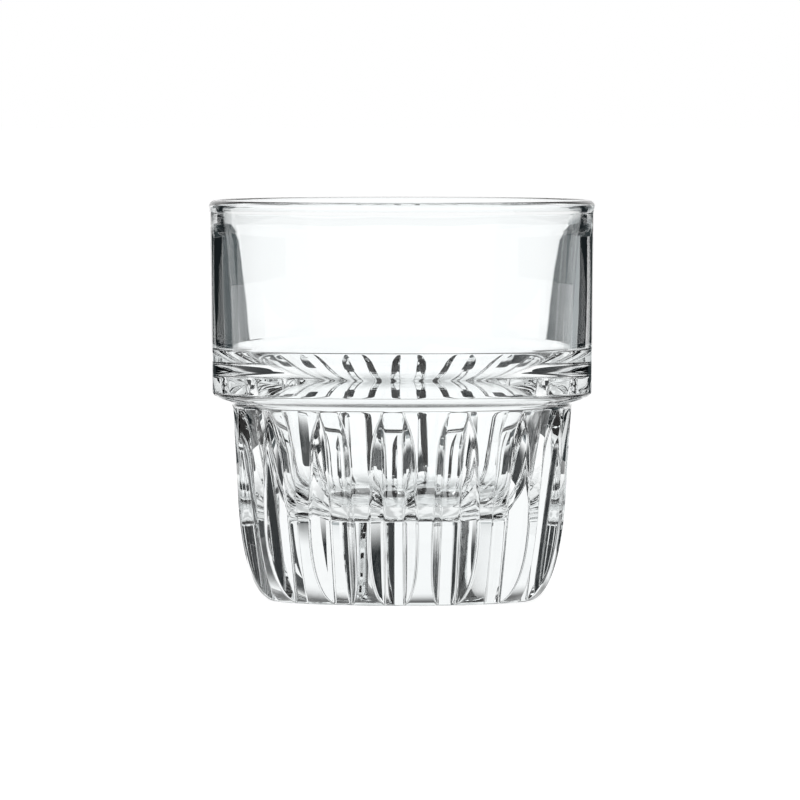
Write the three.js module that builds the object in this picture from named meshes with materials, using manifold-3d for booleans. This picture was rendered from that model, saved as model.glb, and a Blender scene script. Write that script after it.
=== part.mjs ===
// Stackable juice glass, pressed in one piece from clear soda-lime glass.
// A plain wide drinking band steps in at a shoulder to a narrower fluted body on a thick solid base.
// Millimetres, +Z up, origin on the surface that the glass stands on, at the centre of its base.

import * as THREE from 'three';
import { mergeVertices } from 'three/addons/utils/BufferGeometryUtils.js';
import Module from 'manifold-3d';

// Heights above the table
const RIM_TOP = 75;
const BAND_FOOT = 39.2;
const SHOULDER_EDGE = 37.4;
const BODY_TOP = 35.9;
const HEEL_TOP = 20;
const LEDGE_TOP = 47.5;
const LEDGE_CORNER = 46.8;
const LEDGE_MIDDLE = 42;
const LEDGE_FOOT = 38;
const CAVITY_TOP = 37.4;
const BOWL_TOP = 24.8;
const FLOOR = 15.8;

// Outside radii
const RIM_RADIUS = 36.15;
const BAND_TOP_RADIUS = 35.93;
const BAND_FOOT_RADIUS = 35.55;
const SHOULDER_RADIUS = 33.4;
const BODY_TOP_RADIUS = 31.7;
const HEEL_TOP_RADIUS = 30.85;

// Standing ring under the base, with a shallow hollow inside it
const RING_OUTER_RADIUS = 24;
const RING_INNER_RADIUS = 20.4;
const BASE_HOLLOW = 0.9;

// Inside radii
const RIM_WALL = 2.4;
const LEDGE_TOP_RADIUS = 31.75;
const FLOOR_RADIUS = 15;

// Leans of the inside wall from upright, in degrees
const WALL_LEAN = 3;
const LEDGE_EDGE_LEAN = 18;
const LEDGE_LEAN = 36;
const CAVITY_LEAN = 11.5;

// Points that the curved stretches are drawn towards, or how far off they lie
const HEEL_SIDE_PULL = new THREE.Vector2(30.3, 6);
const HEEL_FOOT_PULL = 26.9;
const COVE_PULL_OUT = 0.1;
const COVE_PULL_DOWN = 0.2;
const SHOULDER_PULL_UP = 0.8;
const WALL_PULL_SHARE = 0.45;
const BOWL_PULL_IN = 1.8;

// Flutes: flat-floored channels that run straight up from the foot of the heel, leaning out a little,
// and then sweep out in an arc to nothing under the shoulder
const FLUTES = 16;
const FLUTE_TOP = 36;
const FLUTE_BEND = 28.2;
const FLUTE_BEND_RADIUS = 28.5;
const FLUTE_LEAN = 7.5;
const FLUTE_SWEEP_RADIUS = 16;
const FLUTE_FLOOR_WIDTH = 3.6;
const FLUTE_FLANK_SPREAD = 0.8;
const FLUTE_CLEAR_DEPTH = 8;
const FLUTE_OVERRUN = 4;

// Facets
const FACETS_PER_FLUTE = 4;
const STEPS_PER_CURVE = 5;
const STEPS_PER_SWEEP = 7;
const MERGE_DISTANCE = 1e-4;

const wasm = await Module();
wasm.setup();

const slope = (lean) => Math.tan(THREE.MathUtils.degToRad(lean));

// Bends an inside wall evenly from one lean to another on its way down to a height.
function bendDown(outline, fromLean, toLean, height) {
  const start = outline.currentPoint.clone();
  const from = THREE.MathUtils.degToRad(fromLean);
  const to = THREE.MathUtils.degToRad(toLean);
  const turnRadius = (start.y - height) / (Math.sin(to) - Math.sin(from));
  const tangent = turnRadius * Math.tan((to - from) / 2);
  outline.quadraticCurveTo(
    start.x - tangent * Math.sin(from),
    start.y - tangent * Math.cos(from),
    start.x - turnRadius * (Math.cos(from) - Math.cos(to)),
    height,
  );
}

// Up the outside of the section, from the middle of the underside to the start of the rim.
function drawOutside(outline, beadRadius) {
  const beadHeight = RIM_TOP - beadRadius;
  const coveRadius = BODY_TOP_RADIUS + COVE_PULL_OUT;
  const coveHeight = SHOULDER_EDGE - COVE_PULL_DOWN;
  const shoulderHeight = SHOULDER_EDGE + SHOULDER_PULL_UP;
  outline.moveTo(0, BASE_HOLLOW);
  outline.quadraticCurveTo(RING_INNER_RADIUS / 2, BASE_HOLLOW, RING_INNER_RADIUS, 0);
  outline.lineTo(RING_OUTER_RADIUS, 0);
  outline.bezierCurveTo(HEEL_FOOT_PULL, 0, HEEL_SIDE_PULL.x, HEEL_SIDE_PULL.y, HEEL_TOP_RADIUS, HEEL_TOP);
  outline.lineTo(BODY_TOP_RADIUS, BODY_TOP);
  outline.quadraticCurveTo(coveRadius, coveHeight, SHOULDER_RADIUS, SHOULDER_EDGE);
  outline.quadraticCurveTo(BAND_FOOT_RADIUS, shoulderHeight, BAND_FOOT_RADIUS, BAND_FOOT);
  outline.lineTo(BAND_TOP_RADIUS, beadHeight - beadRadius);
  outline.lineTo(RIM_RADIUS, beadHeight);
}

// Down the inside of the section, from the end of the rim to the middle of the cavity's floor.
function drawInside(outline) {
  const wallRise = (outline.currentPoint.y - LEDGE_TOP) * WALL_PULL_SHARE;
  const wallRadius = LEDGE_TOP_RADIUS + wallRise * slope(WALL_LEAN);
  outline.quadraticCurveTo(wallRadius, LEDGE_TOP + wallRise, LEDGE_TOP_RADIUS, LEDGE_TOP);
  bendDown(outline, WALL_LEAN, LEDGE_EDGE_LEAN, LEDGE_CORNER);
  bendDown(outline, LEDGE_EDGE_LEAN, LEDGE_LEAN, LEDGE_MIDDLE);
  bendDown(outline, LEDGE_LEAN, LEDGE_EDGE_LEAN, LEDGE_FOOT);
  bendDown(outline, LEDGE_EDGE_LEAN, CAVITY_LEAN, CAVITY_TOP);
  const bowlRadius = outline.currentPoint.x - (CAVITY_TOP - BOWL_TOP) * slope(CAVITY_LEAN);
  outline.lineTo(bowlRadius, BOWL_TOP);
  outline.quadraticCurveTo(bowlRadius - BOWL_PULL_IN, FLOOR, FLOOR_RADIUS, FLOOR);
  outline.lineTo(0, FLOOR);
}

// Outline of half the section, from the underside up the outside and down the inside to the floor.
function sectionOutline() {
  const beadRadius = RIM_WALL / 2;
  const outline = new THREE.Path();
  drawOutside(outline, beadRadius);
  outline.absarc(RIM_RADIUS - beadRadius, RIM_TOP - beadRadius, beadRadius, 0, Math.PI, false);
  drawInside(outline);
  return outline.getPoints(STEPS_PER_CURVE);
}

// Closed solid from a geometry whose copies of a vertex are merged and collapsed triangles dropped.
function solidFrom(geometry) {
  const bare = geometry.clone();
  bare.deleteAttribute('normal');
  bare.deleteAttribute('uv');
  const merged = mergeVertices(bare, MERGE_DISTANCE);
  const index = merged.index.array;
  const triangles = [];
  for (let i = 0; i < index.length; i += 3) {
    const [a, b, c] = index.subarray(i, i + 3);
    if (a !== b && b !== c && c !== a) triangles.push(a, b, c);
  }
  return new wasm.Manifold(new wasm.Mesh({
    numProp: 3,
    vertProperties: new Float32Array(merged.attributes.position.array),
    triVerts: new Uint32Array(triangles),
  }));
}

// Surface of a solid as a geometry.
function geometryFrom(solid) {
  const mesh = solid.getMesh();
  const geometry = new THREE.BufferGeometry();
  geometry.setAttribute('position', new THREE.BufferAttribute(mesh.vertProperties, 3));
  geometry.setIndex(new THREE.BufferAttribute(mesh.triVerts, 1));
  geometry.computeVertexNormals();
  return geometry;
}

// The pressing before its flutes: the section turned about the upright axis.
function turnedBlank() {
  const blank = new THREE.LatheGeometry(sectionOutline(), FLUTES * FACETS_PER_FLUTE);
  blank.rotateX(Math.PI / 2);
  return solidFrom(blank);
}

// Radius of a flute's floor at a height.
function fluteFloorRadius(height) {
  const lean = THREE.MathUtils.degToRad(FLUTE_LEAN);
  if (height <= FLUTE_BEND) return FLUTE_BEND_RADIUS - (FLUTE_BEND - height) * Math.tan(lean);
  const sine = Math.sin(lean) + (height - FLUTE_BEND) / FLUTE_SWEEP_RADIUS;
  return FLUTE_BEND_RADIUS + FLUTE_SWEEP_RADIUS * (Math.cos(lean) - Math.sqrt(1 - sine * sine));
}

// What one flute takes away: a tapered channel section carried up the flute's floor line, with one
// long level below the bend and a level for each step of the sweep.
function fluteCutter(turn) {
  const halfFloor = FLUTE_FLOOR_WIDTH / 2;
  const halfMouth = halfFloor + FLUTE_CLEAR_DEPTH * FLUTE_FLANK_SPREAD;
  const channel = new THREE.Shape([
    new THREE.Vector2(-halfFloor, 0),
    new THREE.Vector2(halfFloor, 0),
    new THREE.Vector2(halfMouth, -FLUTE_CLEAR_DEPTH),
    new THREE.Vector2(-halfMouth, -FLUTE_CLEAR_DEPTH),
  ]);
  const levels = STEPS_PER_SWEEP + 1;
  const cutter = new THREE.ExtrudeGeometry(channel, { depth: levels, steps: levels, bevelEnabled: false });
  const position = cutter.attributes.position;
  const sweepStep = (FLUTE_TOP - FLUTE_BEND) / STEPS_PER_SWEEP;
  for (let i = 0; i < position.count; i += 1) {
    const level = Math.round(position.getZ(i));
    const height = level === 0 ? -FLUTE_OVERRUN : FLUTE_BEND + (level - 1) * sweepStep;
    position.setZ(i, height);
    position.setY(i, position.getY(i) - fluteFloorRadius(height));
  }
  cutter.rotateZ(turn);
  return solidFrom(cutter);
}

function pressedGlass() {
  let glass = turnedBlank();
  for (let flute = 0; flute < FLUTES; flute += 1) {
    glass = glass.subtract(fluteCutter((flute * 2 * Math.PI) / FLUTES));
  }
  return geometryFrom(glass);
}

const clearGlass = new THREE.MeshStandardMaterial({ color: 0xe6eeec, roughness: 0.04, metalness: 0 });
const glassBody = new THREE.Mesh(pressedGlass(), clearGlass);
glassBody.name = 'glass_body';

const juiceGlass = new THREE.Group();
juiceGlass.add(glassBody);

export default juiceGlass;
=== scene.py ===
"""A pressed-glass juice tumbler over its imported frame, in a bright white studio.

The glass is one closed shell. Its half section is drawn as a chain of edges and turned about the
upright axis, then sixteen flutes are pressed into the outside and the faint waves of the pressing
are laid on the walls. The studio is a white table in white surroundings, with standing shades and
darker patches of the table that only the rays bent by the glass meet. Lengths are in metres and
+Z is up.
"""

import logging
import math
from dataclasses import dataclass
from enum import Enum

import bmesh
import bpy
from mathutils import Matrix, Vector, noise


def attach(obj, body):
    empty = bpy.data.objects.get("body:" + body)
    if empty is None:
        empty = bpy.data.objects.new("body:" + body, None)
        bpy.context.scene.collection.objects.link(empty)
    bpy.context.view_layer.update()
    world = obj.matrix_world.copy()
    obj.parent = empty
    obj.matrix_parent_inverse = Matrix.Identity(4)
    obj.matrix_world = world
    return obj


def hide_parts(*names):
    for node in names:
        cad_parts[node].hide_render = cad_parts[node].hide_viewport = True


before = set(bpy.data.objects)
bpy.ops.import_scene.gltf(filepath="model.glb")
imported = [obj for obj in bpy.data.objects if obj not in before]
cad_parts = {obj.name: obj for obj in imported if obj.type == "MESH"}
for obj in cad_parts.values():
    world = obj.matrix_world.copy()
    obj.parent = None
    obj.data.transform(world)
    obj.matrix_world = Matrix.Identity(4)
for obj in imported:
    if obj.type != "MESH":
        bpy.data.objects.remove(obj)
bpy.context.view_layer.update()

log = logging.getLogger("juice_glass")

Point = tuple[float, float]
Span = tuple[float, float]
Colour = tuple[float, float, float, float]

VIEW_AZIMUTH = math.radians(3.1)
LIGHT_BOUNCES = 6
FLUTES = 16
TINY = 1e-9
UP = Vector((0.0, 0.0, 1.0))
ORIGIN = Vector((0.0, 0.0, 0.0))
WHITE: Colour = (1.0, 1.0, 1.0, 1.0)
# Places of the colour sockets of a Mix node, whose names its number sockets share.
MIX_FIRST, MIX_SECOND, MIX_RESULT = 6, 7, 2


class Wall(Enum):
    """Which face of the pressing a stretch of the section belongs to."""

    UNDERSIDE = 0
    BODY = 1
    COVE = 2
    BAND = 3
    RIM = 4
    INSIDE = 5


class Ease(Enum):
    """How a value runs from one stop to the next."""

    STRAIGHT = "LINEAR"
    SMOOTH = "SMOOTHSTEP"


class Tone(Enum):
    """Tones of the studio's shades and of the darker patches on its table."""

    BLACK = (0.012, 0.016, 0.018, 1.0)
    SLATE = (0.06, 0.075, 0.08, 1.0)
    GREY = (0.42, 0.45, 0.46, 1.0)
    PALE = (0.68, 0.7, 0.71, 1.0)


class Side(Enum):
    """Side of the glass, as the viewer sees it."""

    LEFT = -1
    RIGHT = 1

    def azimuths(self, first: float, last: float) -> Span:
        """Puts a range of azimuths, in degrees from straight behind the glass, on this side."""
        return (first, last) if self is Side.RIGHT else (-last, -first)


def line(start: Point, end: Point, steps: int) -> list[Point]:
    """Points along a straight stretch of a section.

    Args:
        start: Radius and height where the stretch begins, which isn't repeated.
        end: Radius and height where it ends.
        steps: Number of points.

    Returns:
        The points after start, up to and with end.
    """
    return [
        (start[0] + (end[0] - start[0]) * i / steps, start[1] + (end[1] - start[1]) * i / steps)
        for i in range(1, steps + 1)
    ]


def curve(start: Point, pulls: tuple[Point, ...], end: Point, steps: int) -> list[Point]:
    """Points along a smooth stretch of a section.

    Args:
        start: Radius and height where the stretch begins, which isn't repeated.
        pulls: One or two points that the stretch is drawn towards.
        end: Radius and height where it ends.
        steps: Number of points.

    Returns:
        The points after start, up to and with end.
    """
    places = [Vector(p) for p in (start, *pulls, end)]
    points: list[Point] = []
    for i in range(1, steps + 1):
        share = i / steps
        level = places
        while len(level) > 1:
            level = [a.lerp(b, share) for a, b in zip(level[:-1], level[1:])]
        points.append((level[0].x, level[0].y))
    return points


def lean_arc(start: Point, leans: Span, height: float, steps: int) -> list[Point]:
    """Points down a circular arc of an inside wall whose lean changes evenly.

    Args:
        start: Radius and height where the arc begins, which isn't repeated.
        leans: Lean from upright at the start and at the end, in degrees.
        height: Height where the arc ends.
        steps: Number of points.

    Returns:
        The points after start, down to the end height.
    """
    first, last = (math.radians(lean) for lean in leans)
    turn = (start[1] - height) / (math.sin(last) - math.sin(first))
    points: list[Point] = []
    for i in range(1, steps + 1):
        lean = first + (last - first) * i / steps
        radius = start[0] - turn * (math.cos(first) - math.cos(lean))
        points.append((radius, start[1] - turn * (math.sin(lean) - math.sin(first))))
    return points


def add_object(
    name: str, shell: bmesh.types.BMesh, finish: bpy.types.Material
) -> bpy.types.Object:
    """Puts a finished mesh in the scene as an object.

    Args:
        name: Name of the object and its mesh.
        shell: The mesh, which is freed.
        finish: Its material.

    Returns:
        The object, at the origin.
    """
    mesh = bpy.data.meshes.new(name)
    shell.to_mesh(mesh)
    shell.free()
    mesh.materials.append(finish)
    made = bpy.data.objects.new(name, mesh)
    bpy.context.scene.collection.objects.link(made)
    return made


class NodeBench:
    """Adds nodes to a material or world and joins them."""

    def __init__(self, owner: bpy.types.Material | bpy.types.World) -> None:
        """Empties a node tree, ready for new nodes.

        Args:
            owner: The material or world that the tree belongs to.
        """
        owner.use_nodes = True
        self.tree = owner.node_tree
        self.tree.nodes.clear()

    def add(self, kind: str, **settings: object) -> bpy.types.Node:
        """Adds one node.

        Args:
            kind: Name of the node type.
            settings: Values for its properties, or for its sockets by their names with _ for a
                space.

        Returns:
            The node.
        """
        node = self.tree.nodes.new(kind)
        for name, value in settings.items():
            if hasattr(node, name):
                setattr(node, name, value)
            else:
                node.inputs[name.replace("_", " ")].default_value = value
        return node

    def join(self, source: bpy.types.NodeSocket, target: bpy.types.NodeSocket) -> None:
        """Links an output to an input."""
        self.tree.links.new(source, target)

    def work(
        self, operation: str, *terms: bpy.types.NodeSocket | float
    ) -> bpy.types.NodeSocket:
        """Adds a sum, product or other step of arithmetic.

        Args:
            operation: Name of the step.
            terms: Outputs or numbers that it works on.

        Returns:
            The output that holds the result.
        """
        node = self.add("ShaderNodeMath", operation=operation)
        for place, term in zip(node.inputs, terms):
            if isinstance(term, (int, float)):
                place.default_value = term
            else:
                self.join(term, place)
        return node.outputs[0]

    def clouds(
        self, place: bpy.types.NodeSocket, scale: float, detail: float
    ) -> bpy.types.NodeSocket:
        """Adds cloudy noise.

        Args:
            place: Where on the object the noise is read.
            scale: How fine it is.
            detail: How many finer layers it has.

        Returns:
            The output that holds its strength.
        """
        texture = self.add("ShaderNodeTexNoise", Scale=scale, Detail=detail)
        self.join(place, texture.inputs["Vector"])
        return texture.outputs[0]

    def slope(
        self,
        value: bpy.types.NodeSocket,
        stops: Span,
        ends: Span = (0.0, 1.0),
        ease: Ease = Ease.SMOOTH,
    ) -> bpy.types.NodeSocket:
        """Runs from one number at the first stop to another at the second, and is level past them.

        Args:
            value: What the stops are measured along.
            stops: The two places.
            ends: The numbers there.
            ease: How it runs between them.

        Returns:
            The output that holds the result.
        """
        step = self.add("ShaderNodeMapRange", interpolation_type=ease.value)
        names = ("From Min", "From Max", "To Min", "To Max")
        for name, number in zip(names, (*stops, *ends)):
            step.inputs[name].default_value = number
        self.join(value, step.inputs["Value"])
        return step.outputs[0]

    def between(
        self, value: bpy.types.NodeSocket, limits: Span, blur: float
    ) -> bpy.types.NodeSocket:
        """Finds where a value lies between two limits.

        Args:
            value: The value.
            limits: The two limits.
            blur: Width of the soft edge at each limit.

        Returns:
            An output that is 1 between the limits and 0 outside them.
        """
        low, high = limits
        rise = self.slope(value, (low - blur / 2, low + blur / 2))
        fall = self.slope(value, (high - blur / 2, high + blur / 2))
        return self.work("SUBTRACT", rise, fall)

    def blend(
        self, share: bpy.types.NodeSocket, first: bpy.types.NodeSocket | Colour, second: Colour
    ) -> bpy.types.NodeSocket:
        """Mixes two colours.

        Args:
            share: 0 for the first colour, 1 for the second.
            first: An output or a colour.
            second: A colour.

        Returns:
            The output that holds the mixed colour.
        """
        mix = self.add("ShaderNodeMix", data_type="RGBA")
        self.join(share, mix.inputs[0])
        mix.inputs[MIX_SECOND].default_value = second
        if isinstance(first, bpy.types.NodeSocket):
            self.join(first, mix.inputs[MIX_FIRST])
        else:
            mix.inputs[MIX_FIRST].default_value = first
        return mix.outputs[MIX_RESULT]


@dataclass(frozen=True)
class ClearGlass:
    """Fire-polished soda-lime glass with the faint unevenness of a pressing."""

    name: str = "clear_glass"
    refraction: float = 1.52
    reflected_tint: Colour = (0.62, 0.62, 0.62, 1.0)
    clear_tint: Colour = (0.985, 0.994, 0.993, 1.0)
    cool_tint: Colour = (0.955, 0.975, 0.98, 1.0)
    tint_scale: float = 45.0
    tint_detail: float = 2.0
    smear_scale: float = 120.0
    smear_detail: float = 3.0
    smear_edges: Span = (0.55, 0.8)
    roughest: float = 0.012
    skin_scale: float = 210.0
    skin_detail: float = 1.0
    skin_depth: float = 0.00001
    skin_strength: float = 0.35
    body_tint: Colour = (0.78, 0.87, 0.89, 1.0)
    body_density: float = 2.5

    def material(self) -> bpy.types.Material:
        """Makes the glass.

        Returns:
            A clear, slightly cool material whose tint, polish and skin vary over the surface.
        """
        glass = bpy.data.materials.new(self.name)
        bench = NodeBench(glass)
        place = bench.add("ShaderNodeTexCoord").outputs["Object"]
        shader = bench.add(
            "ShaderNodeBsdfPrincipled",
            IOR=self.refraction,
            Transmission_Weight=1.0,
            Specular_Tint=self.reflected_tint,
        )

        streaks = bench.clouds(place, self.tint_scale, self.tint_detail)
        tint = bench.blend(streaks, self.clear_tint, self.cool_tint)
        bench.join(tint, shader.inputs["Base Color"])

        smears = bench.clouds(place, self.smear_scale, self.smear_detail)
        polish = bench.slope(smears, self.smear_edges, (0.0, self.roughest), Ease.STRAIGHT)
        bench.join(polish, shader.inputs["Roughness"])

        skin = bench.clouds(place, self.skin_scale, self.skin_detail)
        relief = bench.add(
            "ShaderNodeBump", Strength=self.skin_strength, Distance=self.skin_depth
        )
        bench.join(skin, relief.inputs["Height"])
        bench.join(relief.outputs[0], shader.inputs["Normal"])

        body = bench.add(
            "ShaderNodeVolumeAbsorption", Color=self.body_tint, Density=self.body_density
        )
        output = bench.add("ShaderNodeOutputMaterial")
        bench.join(shader.outputs[0], output.inputs["Surface"])
        bench.join(body.outputs[0], output.inputs["Volume"])
        return glass


@dataclass(frozen=True)
class ShadeCloth:
    """Matt cloth that shows its tone without needing light, and fades to white upwards."""

    tone: Tone
    fade: Span

    def material(self) -> bpy.types.Material:
        """Makes the cloth.

        Returns:
            A glow whose colour depends on the height.
        """
        matt = bpy.data.materials.new(f"{self.tone.name.lower()}_cloth")
        bench = NodeBench(matt)
        place = bench.add("ShaderNodeSeparateXYZ")
        bench.join(bench.add("ShaderNodeTexCoord").outputs["Object"], place.inputs[0])
        share = bench.slope(place.outputs["Z"], self.fade)
        glow = bench.add("ShaderNodeEmission")
        bench.join(bench.blend(share, self.tone.value, WHITE), glow.inputs["Color"])
        output = bench.add("ShaderNodeOutputMaterial")
        bench.join(glow.outputs[0], output.inputs["Surface"])
        return matt


@dataclass(frozen=True)
class Patch:
    """A soft-edged piece of a ring on the table round the glass."""

    azimuths: Span
    radii: Span
    tone: Tone
    azimuth_blur: float = 6.0
    radius_blur: float = 0.012


@dataclass(frozen=True)
class WhiteTable:
    """A white sheet that the bent rays meet with a soft shadow and darker patches on it."""

    patches: tuple[Patch, ...]
    name: str = "white_table"
    paint: Colour = (0.8, 0.8, 0.8, 1.0)
    glow: Colour = (0.8, 0.8, 0.8, 1.0)
    shadow: Colour = (0.62, 0.63, 0.63, 1.0)
    caustic: Colour = (0.94, 0.95, 0.95, 1.0)
    open_white: Colour = (1.08, 1.08, 1.08, 1.0)
    shadow_radii: Span = (0.03, 0.08)
    caustic_ripple_scale: float = 140.0
    caustic_ripple_detail: float = 2.0
    caustic_edges: Span = (0.4, 0.62)
    fan_strength: float = 0.16

    def under_glass(
        self,
        bench: NodeBench,
        spot: bpy.types.NodeSocket,
        radius: bpy.types.NodeSocket,
        angle: bpy.types.NodeSocket,
    ) -> bpy.types.NodeSocket:
        """Fades from the shadow under the glass, with the fan of light its flutes throw, to white.

        Args:
            bench: The bench of the material.
            spot: The place on the table.
            radius: Its distance from the axis of the glass.
            angle: Its angle about that axis, in radians.

        Returns:
            The output that holds the colour.
        """
        # Painted caustic light: cloudy ripples and a fan of sixteen bright spokes, laid over the
        # painted shadow under the glass.
        caustic_ripples = bench.clouds(spot, self.caustic_ripple_scale, self.caustic_ripple_detail)
        fan = bench.work("COSINE", bench.work("MULTIPLY", angle, float(FLUTES)))
        light = bench.work("ADD", caustic_ripples, bench.work("MULTIPLY", fan, self.fan_strength))
        lit = bench.slope(light, self.caustic_edges)
        shadow = bench.blend(lit, self.shadow, self.caustic)
        return bench.blend(bench.slope(radius, self.shadow_radii), shadow, self.open_white)

    def pattern(self, bench: NodeBench) -> bpy.types.NodeSocket:
        """Lays the patches round the glass.

        Args:
            bench: The bench of the material.

        Returns:
            The output that holds the colour.
        """
        spot = bench.add("ShaderNodeTexCoord").outputs["Object"]
        place = bench.add("ShaderNodeSeparateXYZ")
        bench.join(spot, place.inputs[0])
        across, along = place.outputs["X"], place.outputs["Y"]
        squares = (bench.work("MULTIPLY", way, way) for way in (across, along))
        radius = bench.work("SQRT", bench.work("ADD", *squares))
        angle = bench.work("ARCTAN2", across, along)
        azimuth = bench.work("DEGREES", bench.work("ADD", angle, VIEW_AZIMUTH))
        colour = self.under_glass(bench, spot, radius, angle)
        for patch in self.patches:
            share = bench.work(
                "MULTIPLY",
                bench.between(radius, patch.radii, patch.radius_blur),
                bench.between(azimuth, patch.azimuths, patch.azimuth_blur),
            )
            colour = bench.blend(share, colour, patch.tone.value)
        return colour

    def material(self) -> bpy.types.Material:
        """Makes the sheet.

        Returns:
            White paint with a glow for the camera, and the patterned glow for bent rays.
        """
        sheet = bpy.data.materials.new(self.name)
        bench = NodeBench(sheet)
        path = bench.add("ShaderNodeLightPath")
        bent = bench.work(
            "MAXIMUM", path.outputs["Is Glossy Ray"], path.outputs["Is Transmission Ray"]
        )
        paint = bench.add("ShaderNodeBsdfDiffuse", Color=self.paint)
        glow = bench.add("ShaderNodeEmission", Color=self.glow)
        bench.join(path.outputs["Is Camera Ray"], glow.inputs["Strength"])
        plain = bench.add("ShaderNodeAddShader")
        bench.join(paint.outputs[0], plain.inputs[0])
        bench.join(glow.outputs[0], plain.inputs[1])
        patched = bench.add("ShaderNodeEmission")
        bench.join(self.pattern(bench), patched.inputs["Color"])
        choice = bench.add("ShaderNodeMixShader")
        bench.join(bent, choice.inputs[0])
        bench.join(plain.outputs[0], choice.inputs[1])
        bench.join(patched.outputs[0], choice.inputs[2])
        output = bench.add("ShaderNodeOutputMaterial")
        bench.join(choice.outputs[0], output.inputs["Surface"])
        return sheet


@dataclass(frozen=True)
class SectionSteps:
    """How many points each stretch of the section is drawn with."""

    hollow: int = 8
    ring: int = 2
    heel: int = 28
    body: int = 22
    cove: int = 10
    shoulder: int = 12
    band: int = 7
    flare: int = 6
    bead: int = 20
    wall: int = 14
    corner: int = 6
    upper_ledge: int = 22
    lower_ledge: int = 16
    ledge_foot: int = 4
    cavity: int = 7
    bowl: int = 26
    floor: int = 6


@dataclass
class GlassSection:
    """Half of the section through the axis, from the base's hollow round to the cavity's floor."""

    rim_top: float = 0.075
    rim_radius: float = 0.03615
    rim_wall: float = 0.0024
    band_top_radius: float = 0.03593
    band_foot: float = 0.0392
    band_foot_radius: float = 0.03555
    shoulder_edge: float = 0.0374
    shoulder_radius: float = 0.0334
    shoulder_rise: float = 0.0008
    body_top: float = 0.0359
    body_top_radius: float = 0.0317
    cove_pull: Point = (0.0001, -0.0002)
    heel_top: float = 0.020
    heel_top_radius: float = 0.03085
    heel_pull: Point = (0.0303, 0.006)
    heel_foot_pull: float = 0.0269
    ring_outer: float = 0.024
    ring_inner: float = 0.0204
    base_hollow: float = 0.0009
    ledge_radius: float = 0.03175
    ledge_top: float = 0.0475
    wall_lean: float = 3.0
    wall_pull: float = 0.45
    corner_height: float = 0.0007
    corner_lean: float = 18.0
    ledge_middle: float = 0.042
    ledge_lean: float = 36.0
    ledge_foot: float = 0.038
    foot_height: float = 0.0006
    cavity_lean: float = 11.5
    bowl_top: float = 0.0248
    bowl_pull: float = 0.0018
    floor: float = 0.0158
    floor_radius: float = 0.015
    steps: SectionSteps = SectionSteps()

    def outside(self) -> list[tuple[Point, Wall]]:
        """Runs from the middle of the underside up the outside to the rim.

        Returns:
            Each point with the face that it belongs to.
        """
        steps = self.steps
        bead = self.rim_wall / 2
        bead_height = self.rim_top - bead
        hollow = (0.0, self.base_hollow)
        hollow_pull = (self.ring_inner / 2, self.base_hollow)
        ring_in, ring_out = (self.ring_inner, 0.0), (self.ring_outer, 0.0)
        heel_pulls = ((self.heel_foot_pull, 0.0), self.heel_pull)
        heel = (self.heel_top_radius, self.heel_top)
        body = (self.body_top_radius, self.body_top)
        shoulder = (self.shoulder_radius, self.shoulder_edge)
        cove_pull = (body[0] + self.cove_pull[0], shoulder[1] + self.cove_pull[1])
        band = (self.band_foot_radius, self.band_foot)
        shoulder_pull = (band[0], shoulder[1] + self.shoulder_rise)
        flare = (self.band_top_radius, bead_height - bead)
        rim = (self.rim_radius, bead_height)
        flare_pull = (rim[0], bead_height - bead / 2)
        stretches = (
            ([hollow], Wall.UNDERSIDE),
            (curve(hollow, (hollow_pull,), ring_in, steps.hollow), Wall.UNDERSIDE),
            (line(ring_in, ring_out, steps.ring), Wall.UNDERSIDE),
            (curve(ring_out, heel_pulls, heel, steps.heel), Wall.BODY),
            (line(heel, body, steps.body), Wall.BODY),
            (curve(body, (cove_pull,), shoulder, steps.cove), Wall.COVE),
            (curve(shoulder, (shoulder_pull,), band, steps.shoulder), Wall.BAND),
            (line(band, flare, steps.band), Wall.BAND),
            (curve(flare, (flare_pull,), rim, steps.flare), Wall.RIM),
            (self.bead(rim, bead, steps.bead), Wall.RIM),
        )
        return [(point, wall) for points, wall in stretches for point in points]

    def bead(self, rim: Point, bead: float, steps: int) -> list[Point]:
        """Turns over the rounded rim.

        Args:
            rim: Radius and height where the outside meets the bead.
            bead: Radius of the bead.
            steps: Number of points.

        Returns:
            The points over the rim to the inside.
        """
        turns = (math.pi * i / steps for i in range(1, steps + 1))
        return [(rim[0] - bead + bead * math.cos(a), rim[1] + bead * math.sin(a)) for a in turns]

    def inside(self) -> list[tuple[Point, Wall]]:
        """Runs from the rim down the drinking band, over the stacking ledge and down to the floor.

        Returns:
            Each point with the face that it belongs to.
        """
        steps = self.steps
        top = (self.rim_radius - self.rim_wall, self.rim_top - self.rim_wall / 2)
        ledge = (self.ledge_radius, self.ledge_top)
        rise = self.wall_pull * (top[1] - ledge[1])
        pull = (ledge[0] + math.tan(math.radians(self.wall_lean)) * rise, ledge[1] + rise)
        points = curve(top, (pull,), ledge, steps.wall)
        bends = (
            (self.wall_lean, self.corner_lean, ledge[1] - self.corner_height, steps.corner),
            (self.corner_lean, self.ledge_lean, self.ledge_middle, steps.upper_ledge),
            (self.ledge_lean, self.corner_lean, self.ledge_foot, steps.lower_ledge),
            (
                self.corner_lean,
                self.cavity_lean,
                self.ledge_foot - self.foot_height,
                steps.ledge_foot,
            ),
        )
        for first_lean, last_lean, height, count in bends:
            points += lean_arc(points[-1], (first_lean, last_lean), height, count)
        radius, height = points[-1]
        taper = math.tan(math.radians(self.cavity_lean)) * (height - self.bowl_top)
        bowl = (radius - taper, self.bowl_top)
        bowl_pull = (bowl[0] - self.bowl_pull, self.floor)
        floor = (self.floor_radius, self.floor)
        points += line((radius, height), bowl, steps.cavity)
        points += curve(bowl, (bowl_pull,), floor, steps.bowl)
        points += line(floor, (0.0, self.floor), steps.floor)
        return [(point, Wall.INSIDE) for point in points]


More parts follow.
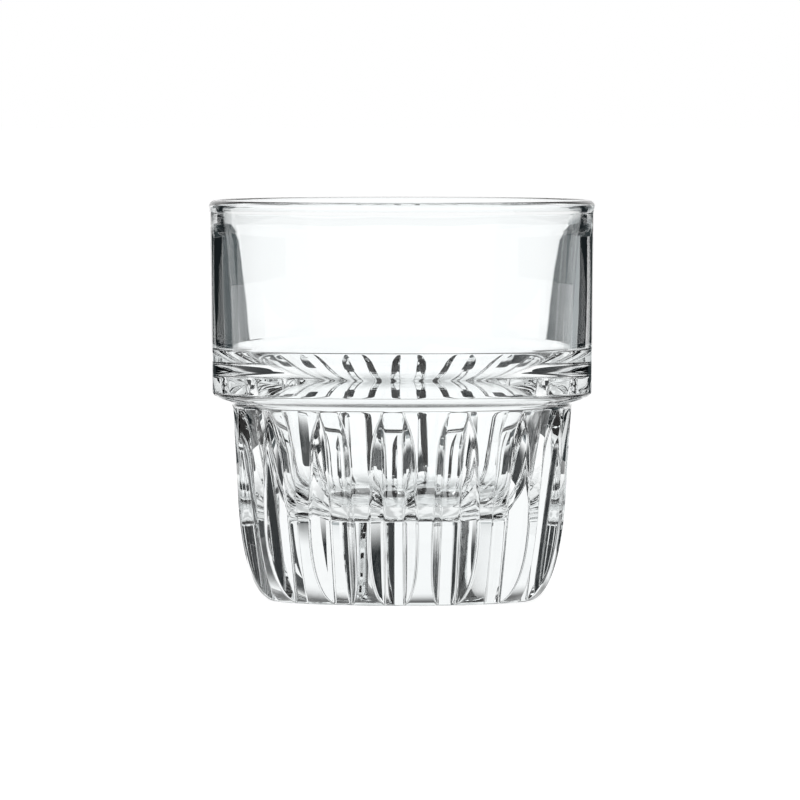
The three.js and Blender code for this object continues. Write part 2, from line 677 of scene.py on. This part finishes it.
@dataclass
class FluteRing:
    """Flat-floored channels that run straight up from the foot and sweep out under the shoulder."""

    count: int = FLUTES
    columns: int = 28
    bend: float = 0.0282
    bend_radius: float = 0.0285
    lean: float = math.radians(7.5)
    sweep_radius: float = 0.016
    floor_width: float = 0.0036
    flank_spread: float = 0.8
    least_flank: float = 0.00035
    softness: float = 0.0003
    shares: tuple[float, ...] = (0.0, 0.14, 0.40, 0.52, 0.80, 1.0)

    @property
    def pitch(self) -> float:
        """Angle from one flute to the next."""
        return 2 * math.pi / self.count

    def soften(self, first: float, second: float, sign: int) -> float:
        """Meets two surfaces in a small fillet.

        Args:
            first: Distance of one surface from the axis.
            second: Distance of the other.
            sign: 1 to keep the farther surface and -1 to keep the nearer one.

        Returns:
            The distance of the joined surface.
        """
        fillet = max(self.softness - abs(first - second), 0.0) ** 2 / (4 * self.softness)
        return max(first, second) + fillet if sign > 0 else min(first, second) - fillet

    def floor_radius(self, height: float) -> float:
        """Finds how far the floor of a flute is from the axis.

        Args:
            height: Height above the table.

        Returns:
            The radius, which grows evenly up to the bend and then along an arc.
        """
        if height <= self.bend:
            return self.bend_radius - (self.bend - height) * math.tan(self.lean)
        sine = math.sin(self.lean) + (height - self.bend) / self.sweep_radius
        sweep = math.cos(self.lean) - math.sqrt(1.0 - sine * sine)
        return self.bend_radius + self.sweep_radius * sweep

    def place(self, share: float, radius: float, height: float) -> Point:
        """Finds where a point of the plain outside goes when the flute is pressed.

        Args:
            share: 0 at the middle of the flute, 1 at the middle of the crest beside it.
            radius: Radius of the plain outside.
            height: Height above the table.

        Returns:
            Distance to the side of the flute's middle plane, and distance out along it.
        """
        bed = self.floor_radius(height)
        depth = max(radius - bed, 0.0)
        half = self.floor_width / 2
        lip = half + max(self.flank_spread * depth, self.least_flank)
        middle = (half + lip) / 2
        crest_middle = radius * math.sin(self.pitch / 2)
        edges = (
            0.0,
            half - self.softness,
            min(half + self.softness, middle),
            max(lip - self.softness, middle),
            lip + self.softness,
            crest_middle,
        )
        stops = [min(edge, crest_middle) for edge in edges]
        last = next(i for i in range(1, len(stops)) if share <= self.shares[i] + TINY)
        first = last - 1
        part = (share - self.shares[first]) / (self.shares[last] - self.shares[first])
        across = stops[first] + (stops[last] - stops[first]) * part
        crest = math.sqrt(max(radius * radius - across * across, 0.0))
        flank = bed + (across - half) / self.flank_spread
        return across, self.soften(crest, self.soften(bed, flank, 1), -1)

    def press(self, vertex: bmesh.types.BMVert, blend: float) -> None:
        """Moves one vertex of the plain outside to its place in the fluted one.

        Args:
            vertex: The vertex.
            blend: 1 on the body, falling to 0 where the cove meets the shoulder.
        """
        radius = math.hypot(vertex.co.x, vertex.co.y)
        angle = math.atan2(vertex.co.x, -vertex.co.y)
        index = round(angle / self.pitch)
        off = angle - index * self.pitch
        across, out = self.place(min(abs(off) / (self.pitch / 2), 1.0), radius, vertex.co.z)
        turned = math.copysign(math.atan2(across, out), off)
        reach = radius + (math.hypot(across, out) - radius) * blend
        turned = index * self.pitch + off + (turned - off) * blend
        vertex.co.x = reach * math.sin(turned)
        vertex.co.y = -reach * math.cos(turned)


@dataclass
class PressWaves:
    """The slow unevenness that the mould and plunger leave in a pressed wall."""

    inside_depth: float = 0.00006
    outside_depth: float = 0.00002
    length: float = 0.017
    fade: float = 0.004
    rim_top: float = 0.075

    def lay(self, vertex: bmesh.types.BMVert, wall: Wall) -> None:
        """Moves one vertex along its normal by the waves at its place.

        Args:
            vertex: The vertex, with its normal up to date.
            wall: The face that it belongs to.
        """
        depth = self.inside_depth if wall is Wall.INSIDE else self.outside_depth
        calm = min((self.rim_top - vertex.co.z) / self.fade, 1.0)
        vertex.co += vertex.normal * depth * calm * noise.noise(vertex.co / self.length)


@dataclass
class GlassBody:
    """The whole tumbler: one pressing with a plain band, a stepped shoulder and a fluted foot."""

    section: GlassSection
    flutes: FluteRing
    waves: PressWaves
    finish: ClearGlass
    name: str = "pressed_tumbler"
    node: str = "glass_body"
    weld: float = 1e-7

    def turn(self, shell: bmesh.types.BMesh) -> bmesh.types.BMLayerItem:
        """Draws the half section and turns it about the axis.

        Args:
            shell: An empty mesh, which gets the closed shell.

        Returns:
            The vertex layer that says which face each vertex belongs to.
        """
        layer = shell.verts.layers.int.new("wall")
        chain = []
        for (radius, height), wall in self.section.outside() + self.section.inside():
            vertex = shell.verts.new((0.0, -radius, height))
            vertex[layer] = wall.value
            chain.append(vertex)
        edges = [shell.edges.new(pair) for pair in zip(chain[:-1], chain[1:])]
        bmesh.ops.spin(
            shell,
            geom=chain + edges,
            cent=ORIGIN,
            axis=UP,
            angle=2 * math.pi,
            steps=self.flutes.count * self.flutes.columns,
            use_merge=True,
        )
        bmesh.ops.remove_doubles(shell, verts=shell.verts[:], dist=self.weld)
        bmesh.ops.recalc_face_normals(shell, faces=shell.faces[:])
        return layer

    def shape(self, shell: bmesh.types.BMesh, layer: bmesh.types.BMLayerItem) -> None:
        """Presses the flutes and lays the waves.

        Args:
            shell: The turned shell.
            layer: The vertex layer that says which face each vertex belongs to.
        """
        cove_top = self.section.shoulder_edge
        cove_height = cove_top - self.section.body_top
        for vertex in shell.verts:
            wall = Wall(vertex[layer])
            if wall is Wall.BODY:
                self.flutes.press(vertex, 1.0)
            elif wall is Wall.COVE:
                self.flutes.press(vertex, (cove_top - vertex.co.z) / cove_height)
        shell.normal_update()
        for vertex in shell.verts:
            wall = Wall(vertex[layer])
            if wall in (Wall.INSIDE, Wall.BODY, Wall.BAND):
                self.waves.lay(vertex, wall)

    def build(self) -> bpy.types.Object:
        """Makes the tumbler and puts it in the place of its CAD node.

        Returns:
            The finished piece.
        """
        shell = bmesh.new()
        layer = self.turn(shell)
        self.shape(shell, layer)
        for face in shell.faces:
            face.smooth = True
        piece = add_object(self.name, shell, self.finish.material())
        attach(piece, "root")
        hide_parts(self.node)
        log.info("%s: %d faces", self.name, len(piece.data.polygons))
        return piece


@dataclass
class StudioTable:
    """The white sheet that the glass stands on, wide enough to reach past the picture."""

    finish: WhiteTable
    half_width: float = 8.0
    name: str = "studio_table"

    def build(self) -> bpy.types.Object:
        """Lays the sheet.

        Returns:
            The table.
        """
        sheet = bmesh.new()
        bmesh.ops.create_grid(sheet, x_segments=1, y_segments=1, size=self.half_width)
        table = add_object(self.name, sheet, self.finish.material())
        log.info("%s: %.1f m across", self.name, 2 * self.half_width)
        return table


@dataclass
class Shade:
    """An upright shade bent round the glass, which only reflected and refracted rays meet."""

    name: str
    azimuths: Span
    radius: float
    heights: Span
    finish: ShadeCloth
    steps: int = 24

    def build(self) -> bpy.types.Object:
        """Sweeps the shade's upright edge round the axis.

        Returns:
            The shade.
        """
        first, last = (math.radians(azimuth) - VIEW_AZIMUTH for azimuth in self.azimuths)
        sweep = bmesh.new()
        ends = [sweep.verts.new((0.0, self.radius, height)) for height in self.heights]
        edge = sweep.edges.new(ends)
        start = Matrix.Rotation(-first, 3, "Z")
        bmesh.ops.rotate(sweep, verts=ends, cent=ORIGIN, matrix=start)
        bmesh.ops.spin(
            sweep,
            geom=[*ends, edge],
            cent=ORIGIN,
            axis=UP,
            angle=first - last,
            steps=self.steps,
        )
        shade = add_object(self.name, sweep, self.finish.material())
        shade.visible_camera = False
        shade.visible_diffuse = False
        shade.visible_shadow = False
        log.info("%s: %g to %g degrees", self.name, *self.azimuths)
        return shade


def studio_shades() -> list[Shade]:
    """Lists the standing shades that draw the glass's edges against the white.

    Returns:
        The shades, by azimuth from straight behind the glass to the viewer's right.
    """
    far, near, close = 4.0, 0.3, 0.085
    far_black = ShadeCloth(Tone.BLACK, fade=(0.15, 0.6))
    far_grey = ShadeCloth(Tone.GREY, fade=(0.1, 0.45))
    near_black = ShadeCloth(Tone.BLACK, fade=(0.1, 0.16))
    low_black = ShadeCloth(Tone.BLACK, fade=(0.014, 0.022))
    shades = [
        Shade("far_cloth_right", (12.0, 25.0), far, (0.0, 0.45), far_grey),
        Shade("low_shade_left", (-118.0, -28.0), close, (0.0, 0.022), low_black),
        Shade("low_shade_right", (22.0, 118.0), close, (0.0, 0.022), low_black),
    ]
    for side in Side:
        name = side.name.lower()
        shades += [
            Shade(f"far_shade_{name}", side.azimuths(25.0, 31.0), far, (0.0, 0.6), far_black),
            Shade(f"side_shade_{name}", side.azimuths(31.0, 60.0), near, (0.02, 0.16), near_black),
            Shade(f"end_shade_{name}", side.azimuths(60.0, 110.0), near, (0.05, 0.16), near_black),
        ]
    return shades


def table_patches() -> tuple[Patch, ...]:
    """Lists the darker patches that the glass bends into its flutes and the ends of its band.

    Returns:
        The patches, by azimuth from straight behind the glass to the viewer's right, in the order
        that they are laid over each other.
    """
    near_ring, back_ring = (0.165, 0.25), (0.3, 0.385)
    far_ring, horizon = (0.385, 0.62), (0.62, 4.0)
    return (
        Patch((-60.0, -28.0), near_ring, Tone.PALE, azimuth_blur=8.0, radius_blur=0.03),
        Patch((24.0, 60.0), near_ring, Tone.PALE, azimuth_blur=8.0, radius_blur=0.03),
        Patch((-58.0, -36.0), back_ring, Tone.SLATE, azimuth_blur=2.0),
        Patch((-36.0, -13.0), back_ring, Tone.BLACK, azimuth_blur=2.0),
        Patch((23.0, 40.0), back_ring, Tone.BLACK, azimuth_blur=2.0),
        Patch((40.0, 58.0), back_ring, Tone.GREY, azimuth_blur=2.0),
        Patch((-58.0, -16.0), far_ring, Tone.SLATE, azimuth_blur=1.0),
        Patch((13.5, 58.0), far_ring, Tone.SLATE, azimuth_blur=1.0),
        Patch((-31.0, -15.0), horizon, Tone.SLATE, azimuth_blur=1.0),
        Patch((13.0, 31.0), horizon, Tone.SLATE, azimuth_blur=1.0),
    )


@dataclass
class StudioWorld:
    """White surroundings that dim overhead, from one elevation in degrees to another.

    The camera sees them white all over, and only other rays meet the dimmed part.
    """

    white: float = 1.0
    overhead: float = 0.12
    dimming: Span = (18.0, 32.0)

    def build(self) -> bpy.types.World:
        """Makes the surroundings and sets them.

        Returns:
            The scene's world.
        """
        world = bpy.data.worlds.new("studio_world")
        bench = NodeBench(world)
        path = bench.add("ShaderNodeLightPath")
        spot = bench.add("ShaderNodeSeparateXYZ")
        bench.join(bench.add("ShaderNodeTexCoord").outputs["Generated"], spot.inputs[0])
        low, high = (math.sin(math.radians(elevation)) for elevation in self.dimming)
        fall = bench.slope(spot.outputs["Z"], (low, high), (self.white, self.overhead))
        seen = bench.work("MULTIPLY", path.outputs["Is Camera Ray"], self.white)
        backdrop = bench.add("ShaderNodeBackground", Color=WHITE)
        bench.join(bench.work("MAXIMUM", fall, seen), backdrop.inputs["Strength"])
        output = bench.add("ShaderNodeOutputWorld")
        bench.join(backdrop.outputs[0], output.inputs["Surface"])
        bpy.context.scene.world = world
        return world


@dataclass
class Softbox:
    """A broad lamp high over the table that gives the glass a soft shadow."""

    place: Point = (-0.5, -0.6)
    height: float = 1.3
    size: float = 0.8
    power: float = 3.0

    def build(self) -> bpy.types.Object:
        """Hangs the lamp and aims it at the glass.

        Returns:
            The lamp.
        """
        lamp = bpy.data.lights.new("softbox", "AREA")
        lamp.shape = "SQUARE"
        lamp.size = self.size
        lamp.energy = self.power
        box = bpy.data.objects.new("softbox", lamp)
        box.location = (*self.place, self.height)
        box.rotation_euler = (-box.location).to_track_quat("-Z", "Y").to_euler()
        bpy.context.scene.collection.objects.link(box)
        return box


@dataclass
class PhotoCamera:
    """A long lens a little above the middle of the glass, framed as the photo is."""

    target: tuple[float, float, float] = (-0.00037, 0.0, 0.0375)
    distance: float = 2.5
    elevation: float = math.radians(1.8)
    pixels: int = 800
    pixel_size: float = 0.0001873
    sensor: float = 36.0
    reach: float = 50.0

    def build(self) -> bpy.types.Object:
        """Places the camera and makes it the scene's own.

        Returns:
            The camera.
        """
        lens = bpy.data.cameras.new("photo_camera")
        lens.sensor_width = self.sensor
        lens.lens = self.sensor * self.distance / (self.pixels * self.pixel_size)
        lens.clip_end = self.reach
        camera = bpy.data.objects.new("photo_camera", lens)
        level = math.cos(self.elevation)
        back = Vector((
            math.sin(VIEW_AZIMUTH) * level,
            -math.cos(VIEW_AZIMUTH) * level,
            math.sin(self.elevation),
        ))
        camera.location = Vector(self.target) + back * self.distance
        camera.rotation_euler = (math.pi / 2 - self.elevation, 0.0, VIEW_AZIMUTH)
        bpy.context.scene.collection.objects.link(camera)
        bpy.context.scene.camera = camera
        return camera


def set_light_paths(bounces: int) -> None:
    """Sets how many times light may bend in the glass, and the plain view transform.

    Args:
        bounces: Most surfaces that a ray may cross or bounce off.
    """
    scene = bpy.context.scene
    scene.view_settings.view_transform = "Standard"
    scene.cycles.max_bounces = bounces
    scene.cycles.transmission_bounces = bounces
    scene.cycles.glossy_bounces = bounces


def main() -> None:
    """Builds the studio and the glass, in order, and reports the table, the shades and the glass.
    """
    logging.basicConfig(level=logging.INFO, format="%(message)s")
    set_light_paths(LIGHT_BOUNCES)
    PhotoCamera().build()
    StudioWorld().build()
    Softbox().build()
    StudioTable(WhiteTable(table_patches())).build()
    for shade in studio_shades():
        shade.build()
    GlassBody(GlassSection(), FluteRing(), PressWaves(), ClearGlass()).build()


if __name__ == "__main__":
    main()
